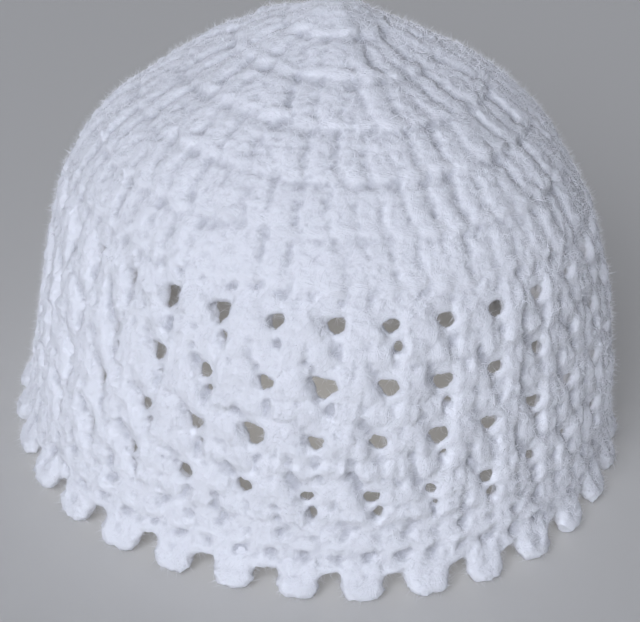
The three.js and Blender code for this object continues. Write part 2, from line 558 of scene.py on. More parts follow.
class NodeTree(NodeWork):
    """Geometry Nodes tree with named inputs."""

    def __init__(self, name: str) -> None:
        """Makes an empty tree with its geometry sockets.

        Args:
            name: The tree's name.
        """
        super().__init__(bpy.data.node_groups.new(name, "GeometryNodeTree"))
        for way in ("INPUT", "OUTPUT"):
            self.tree.interface.new_socket(
                "Geometry", in_out=way, socket_type="NodeSocketGeometry"
            )
        self.start = self.tree.nodes.new("NodeGroupInput")
        self.end = self.tree.nodes.new("NodeGroupOutput")

    def size(self, name: str, kind: str) -> Socket:
        """Adds a named input, which apply() gives its value.

        Args:
            name: Its name.
            kind: Its socket type, such as Float.

        Returns:
            The socket that gives the input inside the tree.
        """
        socket_type = f"NodeSocket{kind}"
        self.tree.interface.new_socket(name, in_out="INPUT", socket_type=socket_type)
        return self.start.outputs[name]

    def place(self) -> Socket:
        """Place of each point."""
        return self.add("GeometryNodeInputPosition").outputs[0]

    def read(self, name: str) -> Socket:
        """Reads a number that is stored on the points."""
        kind = {"data_type": "FLOAT"}
        return self.add("GeometryNodeInputNamedAttribute", kind, Name=name).outputs[0]

    def store(self, shape: Socket, name: str, value: Socket) -> Socket:
        """Stores a number on every point of a shape.

        Args:
            shape: The shape.
            name: The number's name.
            value: The number.

        Returns:
            The shape, with the number on it.
        """
        kind = "GeometryNodeStoreNamedAttribute"
        return self.add(kind, Geometry=shape, Name=name, Value=value).outputs[0]

    def move(self, shape: Socket, **to: object) -> Socket:
        """Moves a shape's points to a Position or by an Offset and returns the shape."""
        return self.add("GeometryNodeSetPosition", Geometry=shape, **to).outputs[0]

    def smoothed_place(self, rounds: Socket) -> Socket:
        """Place of each point after some smoothing.

        Args:
            rounds: Rounds of smoothing.

        Returns:
            The place.
        """
        kind = {"data_type": "FLOAT_VECTOR"}
        return self.add(
            "GeometryNodeBlurAttribute", kind, Value=self.place(), Iterations=rounds
        ).outputs[0]

    def above_floor(self, shape: Socket) -> Socket:
        """Presses what lies below the floor up to it.

        Args:
            shape: The shape.

        Returns:
            The shape, all of it on or above the floor.
        """
        x, y, z = self.add("ShaderNodeSeparateXYZ", i0=self.place()).outputs
        up = self.math("MAXIMUM", z, 0.0)
        pressed = self.add("ShaderNodeCombineXYZ", i0=x, i1=y, i2=up)
        return self.move(shape, Position=pressed.outputs[0])

    def finish(self, shape: Socket, material: Socket) -> None:
        """Ends the tree: the shape is realized and takes the material.

        Args:
            shape: The shape.
            material: The material.
        """
        real = self.add("GeometryNodeRealizeInstances", Geometry=shape)
        dressed = self.add("GeometryNodeSetMaterial", Geometry=real.outputs[0], Material=material)
        self.tree.links.new(dressed.outputs[0], self.end.inputs[0])

    def apply(self, carrier: bpy.types.Object, **sizes: object) -> bpy.types.Object:
        """Runs the tree on an object and makes the result its plain mesh.

        Args:
            carrier: The object, whose mesh is the tree's geometry.
            **sizes: Values of the tree's named inputs, with _ for a space.

        Returns:
            The same object, with its new mesh and no modifier.
        """
        modifier = carrier.modifiers.new("stitches", "NODES")
        modifier.node_group = self.tree
        for item in self.tree.interface.items_tree:
            key = item.name.replace(" ", "_")
            if item.in_out == "INPUT" and key in sizes:
                modifier[item.identifier] = sizes[key]
        make_plain(carrier)
        return carrier


@dataclass
class Yarn:
    """Soft plied yarn, and the tree that sweeps it along strands."""

    radius: float = 1.08
    plies: int = 4
    relief: float = 0.15  # how deep the plies part, as a share of the radius
    twist: float = 0.105  # turns of the plies for each millimetre
    straight: float = 1.7  # length between its samples where it is straight
    bend: float = 0.8  # radians between its samples where it bends
    tree: NodeTree = field(init=False, repr=False)

    def __post_init__(self) -> None:
        """Builds the tree: edges to curves, twisted, and swept with a lobed outline."""
        tree = NodeTree("plied_yarn")
        radius = tree.size("Radius", "Float")
        sides = tree.size("Sides", "Int")
        relief = tree.size("Relief", "Float")
        twist = tree.size("Twist", "Float")
        material = tree.size("Material", "Material")
        strands = tree.add("GeometryNodeMeshToCurve", Mesh=tree.start.outputs[0]).outputs[0]
        along = tree.add("GeometryNodeSplineParameter").outputs["Length"]
        strands = tree.store(strands, "along", along)
        tilt = tree.math("MULTIPLY", along, twist)
        strands = tree.add("GeometryNodeSetCurveTilt", Curve=strands, Tilt=tilt).outputs[0]
        ring = tree.add("GeometryNodeCurvePrimitiveCircle", Resolution=sides, Radius=radius)
        index = tree.add("GeometryNodeInputIndex").outputs[0]
        valley = tree.math("MODULO", index, 2.0)
        shrink = tree.math("SUBTRACT", 1.0, tree.math("MULTIPLY", valley, relief))
        lobed = tree.vector("SCALE", i0=tree.place(), Scale=shrink)
        outline = tree.move(ring.outputs[0], Position=lobed)
        parts = tree.add("ShaderNodeSeparateXYZ", i0=tree.place())
        outline = tree.store(outline, "round_x", parts.outputs[0])
        outline = tree.store(outline, "round_y", parts.outputs[1])
        swept = tree.add(
            "GeometryNodeCurveToMesh",
            Curve=strands, Profile_Curve=outline, Scale=tree.read("girth"), Fill_Caps=True,
        )
        tree.finish(swept.outputs[0], material)
        self.tree = tree

    def spin(self, route: np.ndarray) -> np.ndarray:
        """Smooth strand along a route."""
        return smooth_route(route, self.straight, self.bend)

    def sweep(
        self, name: str, strands: list[np.ndarray], material: bpy.types.Material
    ) -> bpy.types.Object:
        """Makes strands of yarn.

        Args:
            name: The object's name.
            strands: Samples of each strand, with columns for depth, girth and down.
            material: Their finish.

        Returns:
            The object, with a closed tube for each strand.
        """
        return self.tree.apply(
            strand_mesh(name, strands),
            Radius=self.radius * MM,
            Sides=2 * self.plies,
            Relief=self.relief,
            Twist=self.twist * TAU / MM,
            Material=material,
        )


@dataclass
class Felt:
    """Brushed surface in which neighbouring strands of soft yarn cling together."""

    grain: float = 0.63  # size of the cells that the surface is made from
    softness: int = 1  # rounds of smoothing
    fluff: float = 0.9  # how unevenly the brushed fibres stand, from the lowest to the highest
    fluff_scale: float = 1000.0
    groove_reach: int = 5  # rounds of smoothing that a groove is measured against
    hollow_reach: int = 36  # rounds of smoothing that a wide hollow is measured against
    seam_jump: tuple[float, float] = (1.0, 6.0)  # jump in length along that starts a seam, fully
    seam_share: float = 0.8  # how far the fibres' streaks fade in a seam
    tree: NodeTree = field(init=False, repr=False)

    def __post_init__(self) -> None:
        """Builds the tree: a skin round all strands, softened, that knows the strand below it."""
        tree = NodeTree("brushed_surface")
        strands = tree.size("Strands", "Object")
        softness = tree.size("Softness", "Int")
        fluff = tree.size("Fluff", "Float")
        fluff_scale = tree.size("Fluff Scale", "Float")
        reaches = {
            "groove": tree.size("Groove Reach", "Int"),
            "hollow": tree.size("Hollow Reach", "Int"),
        }
        material = tree.size("Material", "Material")
        source = tree.add("GeometryNodeObjectInfo", Object=strands).outputs["Geometry"]
        soft = tree.move(tree.start.outputs[0], Position=tree.smoothed_place(softness))
        noise = tree.add("ShaderNodeTexNoise", Scale=fluff_scale, Detail=2.0).outputs[0]
        swell = tree.math("MULTIPLY", tree.math("SUBTRACT", noise, 0.5), fluff)
        outwards = tree.add("GeometryNodeInputNormal").outputs[0]
        soft = tree.move(soft, Offset=tree.vector("SCALE", i0=outwards, Scale=swell))
        for name in ("round_x", "round_y", "along", "depth"):
            near = tree.add(
                "GeometryNodeSampleNearestSurface", {"data_type": "FLOAT"},
                Mesh=source, Value=tree.read(name), Sample_Position=tree.place(),
            )
            soft = tree.store(soft, name, near.outputs[0])
        along = tree.read("along")
        mean = tree.add("GeometryNodeBlurAttribute", Value=along, Iterations=1).outputs[0]
        jump = tree.math("ABSOLUTE", tree.math("SUBTRACT", mean, along))
        near, far = (part * MM for part in self.seam_jump)
        seam = tree.add("ShaderNodeMapRange", i0=jump, i1=near, i2=far, i4=self.seam_share)
        soft = tree.store(soft, "seam", seam.outputs[0])
        # how deep each point lies below the skin smoothed over each reach; the yarn's material
        # paints shade from these
        for name, reach in reaches.items():
            gap = tree.vector("SUBTRACT", i0=tree.smoothed_place(reach), i1=tree.place())
            below = tree.vector("DOT_PRODUCT", i0=gap, i1=outwards)
            soft = tree.store(soft, name, tree.math("DIVIDE", below, MM))
        smooth = tree.add("GeometryNodeSetShadeSmooth", Geometry=tree.above_floor(soft))
        tree.finish(smooth.outputs[0], material)
        self.tree = tree

    def wrap(
        self, name: str, strands: bpy.types.Object, material: bpy.types.Material
    ) -> bpy.types.Object:
        """Makes the brushed surface round strands of yarn, which it takes the place of.

        Args:
            name: The piece's name.
            strands: The strands.
            material: The piece's finish.

        Returns:
            The piece, one closed skin.
        """
        piece = bpy.data.objects.new(name, strands.data.copy())
        bpy.context.scene.collection.objects.link(piece)
        cells = piece.modifiers.new("skin", "REMESH")
        cells.mode = "VOXEL"
        cells.voxel_size = self.grain * MM
        make_plain(piece)
        self.tree.apply(
            piece,
            Strands=strands,
            Softness=self.softness,
            Fluff=self.fluff * MM,
            Fluff_Scale=self.fluff_scale,
            Groove_Reach=self.groove_reach,
            Hollow_Reach=self.hollow_reach,
            Material=material,
        )
        bpy.data.objects.remove(strands)
        return piece


@dataclass
class Halo:
    """Fine fibres that stand off the yarn, and the tree that strews them."""

    length: float = 1.3
    thickness: float = 0.045
    fibres_per_mm2: float = 2.55
    depths: tuple[float, float] = (-2.6, -0.8)  # of the yarn with fewest fibres, and with all
    fewest: float = 0.02  # share of the fibres that stands on the deepest yarn
    lengths: tuple[float, float] = (0.45, 1.5)  # shortest and longest, as shares of the length
    lean: float = 1.3  # furthest that a fibre leans over, in radians
    tree: NodeTree = field(init=False, repr=False)

    def __post_init__(self) -> None:
        """Builds the tree: points on the outer strands, each with a tapered fibre."""
        tree = NodeTree("fibre_halo")
        density = tree.size("Density", "Float")
        length = tree.size("Length", "Float")
        thickness = tree.size("Thickness", "Float")
        seed = tree.size("Seed", "Int")
        material = tree.size("Material", "Material")
        deep, outermost = self.depths
        outer = tree.add(
            "ShaderNodeMapRange", {"interpolation_type": "SMOOTHSTEP"},
            i0=tree.read("depth"), i1=deep, i2=outermost, i3=self.fewest, i4=1.0,
        ).outputs[0]
        strewn = tree.add(
            "GeometryNodeDistributePointsOnFaces",
            Mesh=tree.start.outputs[0],
            Density=tree.math("MULTIPLY", density, outer),
            Seed=seed,
        )
        needle = tree.add(
            "GeometryNodeMeshCone",
            {"fill_type": "NGON"},
            Vertices=3, Side_Segments=1, Radius_Top=0.0, Radius_Bottom=thickness, Depth=length,
        ).outputs[0]
        short, long = self.lengths
        stretch = tree.add(
            "FunctionNodeRandomValue", {"data_type": "FLOAT"}, i2=short, i3=long, Seed=seed
        )
        lean = tree.add(
            "FunctionNodeRandomValue", {"data_type": "FLOAT_VECTOR"},
            i0=(-self.lean, -self.lean, 0.0), i1=(self.lean, self.lean, TAU),
            Seed=tree.math("ADD", seed, 1.0),
        )
        turned = tree.add(
            "FunctionNodeRotateRotation",
            {"rotation_space": "LOCAL"},
            Rotation=strewn.outputs["Rotation"],
            Rotate_By=tree.add("FunctionNodeEulerToRotation", Euler=lean.outputs[0]).outputs[0],
        )
        standing = tree.add(
            "GeometryNodeInstanceOnPoints",
            Points=strewn.outputs[0],
            Instance=needle,
            Rotation=turned.outputs[0],
            Scale=stretch.outputs[1],
        )
        real = tree.add("GeometryNodeRealizeInstances", Geometry=standing.outputs[0]).outputs[0]
        tree.finish(tree.above_floor(real), material)
        self.tree = tree

    def strew(
        self,
        name: str,
        pieces: list[bpy.types.Object],
        material: bpy.types.Material,
        seed: int,
    ) -> bpy.types.Object:
        """Strews fibres over pieces of yarn.

        Args:
            name: Name of the piece that they make.
            pieces: The yarn that they stand on.
            material: Their finish.
            seed: Seed of their places.

        Returns:
            The piece.
        """
        mesh = bpy.data.meshes.new(name)
        made = bpy.data.objects.new(name, mesh)
        bpy.context.scene.collection.objects.link(made)
        join_meshes(mesh, pieces)
        return self.tree.apply(
            made,
            Density=self.fibres_per_mm2 / MM**2,
            Length=self.length * MM,
            Thickness=self.thickness / 2 * MM,
            Seed=seed,
            Material=material,
        )


def join_meshes(mesh: bpy.types.Mesh, pieces: list[bpy.types.Object]) -> None:
    """Fills a mesh with the faces of several pieces and their depth.

    Args:
        mesh: The mesh to fill.
        pieces: The pieces.
    """
    points, faces, depths, start = [], [], [], 0
    for piece in pieces:
        data = piece.data
        count = len(data.vertices)
        place = np.empty(count * 3, np.float32)
        data.vertices.foreach_get("co", place)
        corner = np.empty(len(data.loops), np.int32)
        data.loops.foreach_get("vertex_index", corner)
        sizes = np.empty(len(data.polygons), np.int32)
        data.polygons.foreach_get("loop_total", sizes)
        depth = np.empty(count, np.float32)
        data.attributes["depth"].data.foreach_get("value", depth)
        points.append(place.reshape(-1, 3))
        depths.append(depth)
        faces += [part + start for part in np.split(corner, np.cumsum(sizes)[:-1])]
        start += count
    mesh.from_pydata(np.concatenate(points).tolist(), [], [face.tolist() for face in faces])
    layer = mesh.attributes.new("depth", "FLOAT", "POINT")
    layer.data.foreach_set("value", np.concatenate(depths))


# --- Finishes -----------------------------------------------------------------------------------


class Shader(NodeWork):
    """Material with a Principled shader."""

    def __init__(self, name: str, **sockets: object) -> None:
        """Makes the material.

        Args:
            name: Its name.
            **sockets: Values of the shader's own sockets, with _ for a space.
        """
        self.material = bpy.data.materials.new(name)
        self.material.use_nodes = True
        super().__init__(self.material.node_tree)
        self.shader = self.tree.nodes["Principled BSDF"]
        for key, value in sockets.items():
            self.shader.inputs[key.replace("_", " ")].default_value = value

    def place(self) -> Socket:
        """Object coordinates."""
        return self.add("ShaderNodeTexCoord").outputs["Object"]

    def noise(self, place: Socket, scale: float, detail: float) -> Socket:
        """Smooth noise from 0 to 1."""
        return self.add("ShaderNodeTexNoise", i0=place, Scale=scale, Detail=detail).outputs["Fac"]

    def ramp(self, value: Socket, ends: tuple[float, float]) -> Socket:
        """Share that rises from 0 to 1 while a value goes from one end to the other."""
        return self.add("ShaderNodeMapRange", i0=value, i1=ends[0], i2=ends[1]).outputs[0]

    def blend(self, share: object, first: object, second: object) -> Socket:
        """Colour between two colours."""
        mix = self.add("ShaderNodeMix", {"data_type": "RGBA"}, i0=share, i6=first, i7=second)
        return mix.outputs[2]

    def feed(self, socket: str, value: Socket) -> None:
        """Links a value to one of the shader's sockets."""
        self.tree.links.new(value, self.shader.inputs[socket])


@dataclass(frozen=True)
class YarnFinish:
    """Soft brushed white acrylic: fluffy, with fibres along its strands, and painted bluish shade in
    its grooves and hollows.
    """

    light: Color = (0.86, 0.865, 0.895, 1)
    # darker colour: patchy tone leans towards it a little, and grooves and hollows take it as
    # painted shade
    uneven_and_painted_shade: Color = (0.57, 0.575, 0.61, 1)
    # painted shade of the deepest grooves
    deep: Color = (0.38, 0.37, 0.385, 1)
    roughness: float = 0.9
    gloss: float = 0.15
    sheen: float = 0.05
    sheen_roughness: float = 0.6
    fibre_scale: float = 5200.0
    fibre_width: float = 0.14  # as a share of a fibre's length
    fibre_share: float = 0.5  # how much the fibres count in the relief, beside the fluff
    fluff_scale: float = 800.0
    patch_scale: float = 60.0
    relief: float = 0.0004  # m
    relief_strength: float = 0.75
    relief_tint: float = 0.5  # how much the relief changes the tone, beside the patches
    patch_tint: float = 0.4
    groove_painted_shade: float = 1.05  # painted shade for a groove 1 mm deep
    hollow_painted_shade: float = 1.5  # painted shade for a wide hollow 1 mm deep
    shade: tuple[float, float] = (0.1, 1.1)  # tone where the darker colour sets in, and is full: patchy tone and painted shade
    pit: tuple[float, float] = (0.26, 0.6)  # groove, in mm, where the deep painted shade sets in, and is full

    def material(self) -> bpy.types.Material:
        """Builds the material.

        Returns:
            The material, which reads the yarn's own attributes and Object coordinates.
        """
        shader = Shader(
            "white_yarn",
            Roughness=self.roughness,
            Sheen_Weight=self.sheen,
            Sheen_Roughness=self.sheen_roughness,
            Specular_IOR_Level=self.gloss,
        )
        math_node = shader.math
        read = {
            name: shader.add("ShaderNodeAttribute", {"attribute_name": name}).outputs["Fac"]
            for name in ("round_x", "round_y", "along", "seam", "groove", "hollow")
        }
        lengthwise = math_node("MULTIPLY", read["along"], self.fibre_width)
        wool = shader.add(
            "ShaderNodeCombineXYZ", i0=read["round_x"], i1=read["round_y"], i2=lengthwise
        )
        fibres = math_node("SUBTRACT", shader.noise(wool.outputs[0], self.fibre_scale, 3.0), 0.5)
        fluff = math_node("SUBTRACT", shader.noise(shader.place(), self.fluff_scale, 4.0), 0.5)
        patches = shader.noise(shader.place(), self.patch_scale, 2.0)
        fibres = math_node("MULTIPLY", fibres, math_node("SUBTRACT", 1.0, read["seam"]))
        relief = math_node("MULTIPLY_ADD", fibres, self.fibre_share, fluff)
        tone = math_node("MULTIPLY_ADD", relief, self.relief_tint, patches)
        tone = math_node("MULTIPLY", tone, self.patch_tint)
        # painted shade: grooves and wide hollows push the tone, and so the colour, towards the
        # darker colour
        tone = math_node("MULTIPLY_ADD", read["groove"], self.groove_painted_shade, tone)
        tone = math_node("MULTIPLY_ADD", read["hollow"], self.hollow_painted_shade, tone)
        color = shader.blend(shader.ramp(tone, self.shade), self.light, self.uneven_and_painted_shade)
        # painted shade: the deepest grooves go darker still
        color = shader.blend(shader.ramp(read["groove"], self.pit), color, self.deep)
        shader.feed("Base Color", color)
        bump = shader.add(
            "ShaderNodeBump", Strength=self.relief_strength, Distance=self.relief, Height=relief
        )
        shader.feed("Normal", bump.outputs[0])
        return shader.material


@dataclass(frozen=True)
class MattFinish:
    """Matt finish with a slightly uneven tone."""

    name: str
    color: Color
    roughness: float
    patch_scale: float
    detail: float
    darker: float  # tone of the patches, as a share of the colour
    gloss: float = 0.2

    def material(self) -> bpy.types.Material:
        """Builds the material.

        Returns:
            The material.
        """
        shader = Shader(self.name, Roughness=self.roughness, Specular_IOR_Level=self.gloss)
        tone = shader.noise(shader.place(), self.patch_scale, self.detail)
        darker = tuple(self.darker * part for part in self.color[:3]) + (1,)
        shader.feed("Base Color", shader.blend(tone, self.color, darker))
        return shader.material


@dataclass(frozen=True)
class FibreFinish(MattFinish):
    """Single fibres of the halo: clear white and matt."""

    name: str = "yarn_fibre"
    color: Color = (0.92, 0.92, 0.945, 1)
    roughness: float = 0.8
    patch_scale: float = 220.0
    detail: float = 1.0
    darker: float = 0.92


@dataclass(frozen=True)
class FloorFinish(MattFinish):
    """Plain pale floor with a faint unevenness."""

    name: str = "pale_floor"
    color: Color = (0.67, 0.655, 0.625, 1)
    roughness: float = 0.7
    patch_scale: float = 3.0
    detail: float = 2.0
    darker: float = 0.94


# --- Sub-assemblies -----------------------------------------------------------------------------


@dataclass
class Kit:
    """What every part of the hat is made with."""

    fabric: Fabric
    gauge: Gauge
    yarn: Yarn
    felt: Felt
    halo: Halo
    yarn_material: bpy.types.Material
    fibre_material: bpy.types.Material
    collar: float = 3.0  # how far a piece's skin runs on under its neighbour's
    collar_girth: float = 0.92
    made: list[bpy.types.Object] = field(default_factory=list)

    def above(self, strands: list[np.ndarray], seam: float) -> list[np.ndarray]:
        """Lowest stretches of the strands above a seam, which the piece below holds on to.

        Args:
            strands: The strands.
            seam: Place of the seam.

        Returns:
            The stretches.
        """
        edge = seam - self.collar
        cut = [stretches(s, s[:, STRAND_DOWN] > edge, self.collar_girth) for s in strands]
        return sum(cut, [])

    def below(self, strands: list[np.ndarray], seam: float) -> list[np.ndarray]:
        """Highest stretches of the strands below a seam, which the piece above holds on to.

        Args:
            strands: The strands.
            seam: Place of the seam.

        Returns:
            The stretches.
        """
        edge = seam + self.collar
        cut = [stretches(s, s[:, STRAND_DOWN] < edge, self.collar_girth) for s in strands]
        return sum(cut, [])

    def cloth(self, name: str, strands: list[np.ndarray]) -> bpy.types.Object:
        """Makes a piece of soft yarn from its strands."""
        swept = self.yarn.sweep("strands", strands, self.yarn_material)
        return self.felt.wrap(name, swept, self.yarn_material)

    def keep(self, piece: bpy.types.Object, *nodes: str) -> bpy.types.Object:
        """Ties a piece to the frame.

        Args:
            piece: The piece.
            *nodes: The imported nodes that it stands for.

        Returns:
            The piece.
        """
        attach(piece, BODY)
        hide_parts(*nodes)
        self.made.append(piece)
        triangles = sum(len(face.vertices) - 2 for face in piece.data.polygons)
        log.info("%s: %d triangles", piece.name, triangles)
        return piece

    def finish(
        self, name: str, pieces: list[bpy.types.Object], nodes: list[str], seed: int
    ) -> None:
        """Gives pieces of yarn their halo and ties all of it to the frame.

        Args:
            name: Name of the halo.
            pieces: The yarn.
            nodes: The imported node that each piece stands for.
            seed: Seed of the halo.
        """
        fibres = self.halo.strew(name, pieces, self.fibre_material, seed)
        for piece, node in zip(pieces, nodes):
            self.keep(piece, node)
        self.keep(fibres, *sorted(set(nodes)))


@dataclass
class Crown:
    """Domed top: six rounds of double crochet that grow by 11 stitches, and a plain round."""

    kit: Kit
    increases: int = 11
    drift: float = 0.45  # how far the foot of a stitch is pulled from its parent to its own place
    twin: float = 0.12  # of a stitch, how far two stitches in one link part at their feet
    hole: float = 0.8  # radius of the ring that the first round is worked into
    crowd: float = 0.2  # narrowest room at the foot of a stitch, as a share of its width
    girth: float = 1.13
    depths: Depths = Depths()
    link: Depths = Depths(cover=-0.95, front=-1.1, tuck=-1.5, core=-2.0, back=-2.5)
    last_link: Depths = Depths(cover=-1.45, front=-1.7, tuck=-2.1, core=-2.4, back=-2.9)
    seed: int = 11
    node: str = "crown"

    def heads(self, row: int) -> np.ndarray:
        """Azimuths of the chain links of a round.

        Args:
            row: The round, counted from 1.

        Returns:
            The azimuths, in radians.
        """
        count = self.increases * row
        last = self.increases * len(self.kit.gauge.crown_edges)
        start = self.kit.gauge.rib_azimuth(0) - 0.5 * TAU / last
        return start + (np.arange(count) + 0.5) * TAU / count

    def bases(self, row: int) -> np.ndarray:
        """Azimuths of the feet of a round's stitches, near the links that they are worked into.

        Args:
            row: The round, counted from 1.

        Returns:
            The azimuths, in radians.
        """
        if row == 1:
            return self.heads(1)
        above = self.heads(row - 1)
        doubled = (2 * row) % (row - 1)
        parents = []
        for index in range(self.increases * row):
            group, step = divmod(index, row)
            parents.append(group * (row - 1) + step - int(step > doubled))
        own = self.heads(row)
        shift = self.twin * TAU / len(own)
        twins = np.array([(-1) ** (i % row - doubled) for i in range(len(own))])
        near = np.array([i % row in (doubled, doubled + 1) for i in range(len(own))])
        parent = above[parents] - shift * twins * near
        return parent + self.drift * (own - parent)

    def round_route(self, row: int, hand: Hand) -> np.ndarray:
        """Route of the yarn through a round.

        Args:
            row: The round, counted from 1.
            hand: The maker's hand.

        Returns:
            The route's points with their depth.
        """
        fabric, edges = self.kit.fabric, self.kit.gauge.crown_edges
        top = self.hole if row == 1 else edges[row - 2]
        edge = edges[row - 1]
        heads, bases = self.heads(row), self.bases(row)
        width = TAU * float(fabric.radius(edge)) / len(heads)
        room = TAU * float(fabric.radius(top + 1)) / len(heads)
        route = StitchRoute(width, edge - top, self.depths, self.link)
        rows = route.rows(Stitch.DOUBLE)
        rows[:, GIRTH] *= self.girth
        crowd = float(np.clip(room / width, self.crowd, 1))
        laid = [
            Cell(top, edge, base, head, crowd).lay(fabric, rows, hand.stray(len(rows)))
            for base, head in zip(bases, heads)
        ]
        return np.concatenate(laid)

    def plain_route(self, hand: Hand) -> np.ndarray:
        """Route of the yarn through the plain round that ends the crown.

        Args:
            hand: The maker's hand.

        Returns:
            The route's points with their depth.
        """
        gauge, fabric = self.kit.gauge, self.kit.fabric
        top, edge = gauge.crown_edges[-1], gauge.openwork_edges[0]
        heads = self.heads(len(gauge.crown_edges))
        return single_round(fabric, top, edge, heads, (self.depths, self.last_link), hand)

    def work(self) -> list[np.ndarray]:
        """Lays the strands of the crown's rounds.

        Returns:
            The strands, one to a round.
        """
        hand = Hand(self.seed)
        rows = range(1, len(self.kit.gauge.crown_edges) + 1)
        routes = [self.round_route(row, hand) for row in rows]
        routes.append(self.plain_route(hand))
        return [self.kit.yarn.spin(route) for route in routes]

    def build(self, strands: list[np.ndarray], below: list[np.ndarray]) -> None:
        """Makes the crown and its halo.

        Args:
            strands: Its strands.
            below: The openwork's strands.
        """
        seam = self.kit.gauge.openwork_edges[0]
        piece = self.kit.cloth("crown_stitches", strands + self.kit.below(below[:1], seam))
        self.kit.finish("crown_halo", [piece], [self.node], self.seed)


def single_round(
    fabric: Fabric,
    top: float,
    edge: float,
    heads: np.ndarray,
    depths: tuple[Depths, Depths],
    hand: Hand,
    neat: float = 0.7,
) -> np.ndarray:
    """Route of the yarn through a round of single crochet.

    Args:
        fabric: The fabric that it lies on.
        top: Place of the edge above.
        edge: Place of its own edge.
        heads: Azimuths of its stitches.
        depths: Where the strands of its body and of its edge run.
        hand: The maker's hand.
        neat: How far its points stray, as a share of the usual.

    Returns:
        The route's points with their depth.
    """
    width = TAU * float(fabric.radius(edge)) / len(heads)
    rows = StitchRoute(width, edge - top, *depths).rows(Stitch.SINGLE)
    laid = [
        Cell(top, edge, azimuth, azimuth).lay(fabric, rows, neat * hand.stray(len(rows)))
        for azimuth in heads
    ]
    return np.concatenate(laid)


@dataclass
class OpenworkBand:
    """Four rounds in which a raised rib and a slanting stitch take turns, with eyelets between."""

    kit: Kit
    rib: Depths = Depths(cover=-0.55, front=-0.75, tuck=-1.4, core=-1.85, back=-2.6)
    panel: Depths = Depths(cover=-1.3, front=-1.5, tuck=-1.9, core=-2.35, back=-2.75)
    bar: Depths = Depths(cover=-1.45, front=-1.7, tuck=-2.1, core=-2.4, back=-2.9)
    base_from_rib: float = 0.21  # of a repeat, where a slanting stitch starts
    head_from_rib: float = 0.55  # of a repeat, where it ends
    rib_spread: tuple[float, float] = (0.20, 0.20)  # of the width, above and below
    rib_splay: float = 1.6
    panel_spread: tuple[float, float] = (0.08, 0.17)
    panel_reach: float = 0.28
    panel_backing: tuple[float, float] = (0.46, 0.34)
    panel_girth: float = 1.14
    panel_splay: float = 0.6
    draw: float = 0.15  # of a repeat, how much narrower the eyelets are drawn on the right side
    draw_rise: float = 3.0  # how soon they get there, from the front round to the right
    puff: float = 0.5
    seed: int = 23
    node: str = "openwork_band"

    def round_route(self, row: int, hand: Hand) -> np.ndarray:
        """Route of the yarn through a round.

        Args:
            row: The round, counted from 0.
            hand: The maker's hand.

        Returns:
            The route's points with their depth.
        """
        gauge, fabric = self.kit.gauge, self.kit.fabric
        top, edge = gauge.openwork_edges[row], gauge.openwork_edges[row + 1]
        width = TAU * float(fabric.radius(edge)) / (2 * gauge.repeats)
        rib = StitchRoute(width, edge - top, self.rib, self.bar, self.rib_spread, self.rib_splay)
        slant = StitchRoute(
            width,
            edge - top,
            self.panel,
            self.bar,
            self.panel_spread,
            splay=self.panel_splay,
            puff=self.puff,
            reach=self.panel_reach,
            backing=self.panel_backing,
            dip=0.0,
        )
        rib_rows, slant_rows = rib.rows(Stitch.RIB), slant.rows(Stitch.DOUBLE)
        slant_rows[:, GIRTH] *= self.panel_girth
        drift = gauge.spiral_per_round / 2
        laid = []
        for repeat in range(gauge.repeats):
            middle = gauge.rib_azimuth(row) + repeat * gauge.repeat
            cell = Cell(top, edge, middle - drift, middle + drift)
            laid.append(cell.lay(fabric, rib_rows, hand.stray(len(rib_rows))))
            right = max(0.0, math.sin(middle)) ** 2
            drawn = self.draw * min(1.0, self.draw_rise * right)
            base = middle + (self.base_from_rib + drawn) * gauge.repeat
            head = middle + self.head_from_rib * gauge.repeat
            cell = Cell(top, edge, base, head)
            laid.append(cell.lay(fabric, slant_rows, hand.stray(len(slant_rows))))
        return np.concatenate(laid)

    def work(self) -> list[np.ndarray]:
        """Lays the strands of the openwork's rounds.

        Returns:
            The strands, one to a round.
        """
        hand = Hand(self.seed)
        rows = range(len(self.kit.gauge.openwork_edges) - 1)
        return [self.kit.yarn.spin(self.round_route(row, hand)) for row in rows]

    def build(
        self, strands: list[np.ndarray], above: list[np.ndarray], below: list[np.ndarray]
    ) -> None:
        """Makes the openwork, in two pieces of two rounds, and its halo.

        Args:
            strands: Its strands.
            above: The crown's strands.
            below: The brim's strands.
        """
        kit, edges = self.kit, self.kit.gauge.openwork_edges
        upper = strands[:2] + kit.above(above[-1:], edges[0]) + kit.below(strands[2:3], edges[2])
        lower = strands[2:] + kit.above(strands[1:2], edges[2]) + kit.below(below[:1], edges[4])
        pieces = [kit.cloth("openwork_upper", upper), kit.cloth("openwork_lower", lower)]
        kit.finish("openwork_halo", pieces, [self.node] * len(pieces), self.seed)


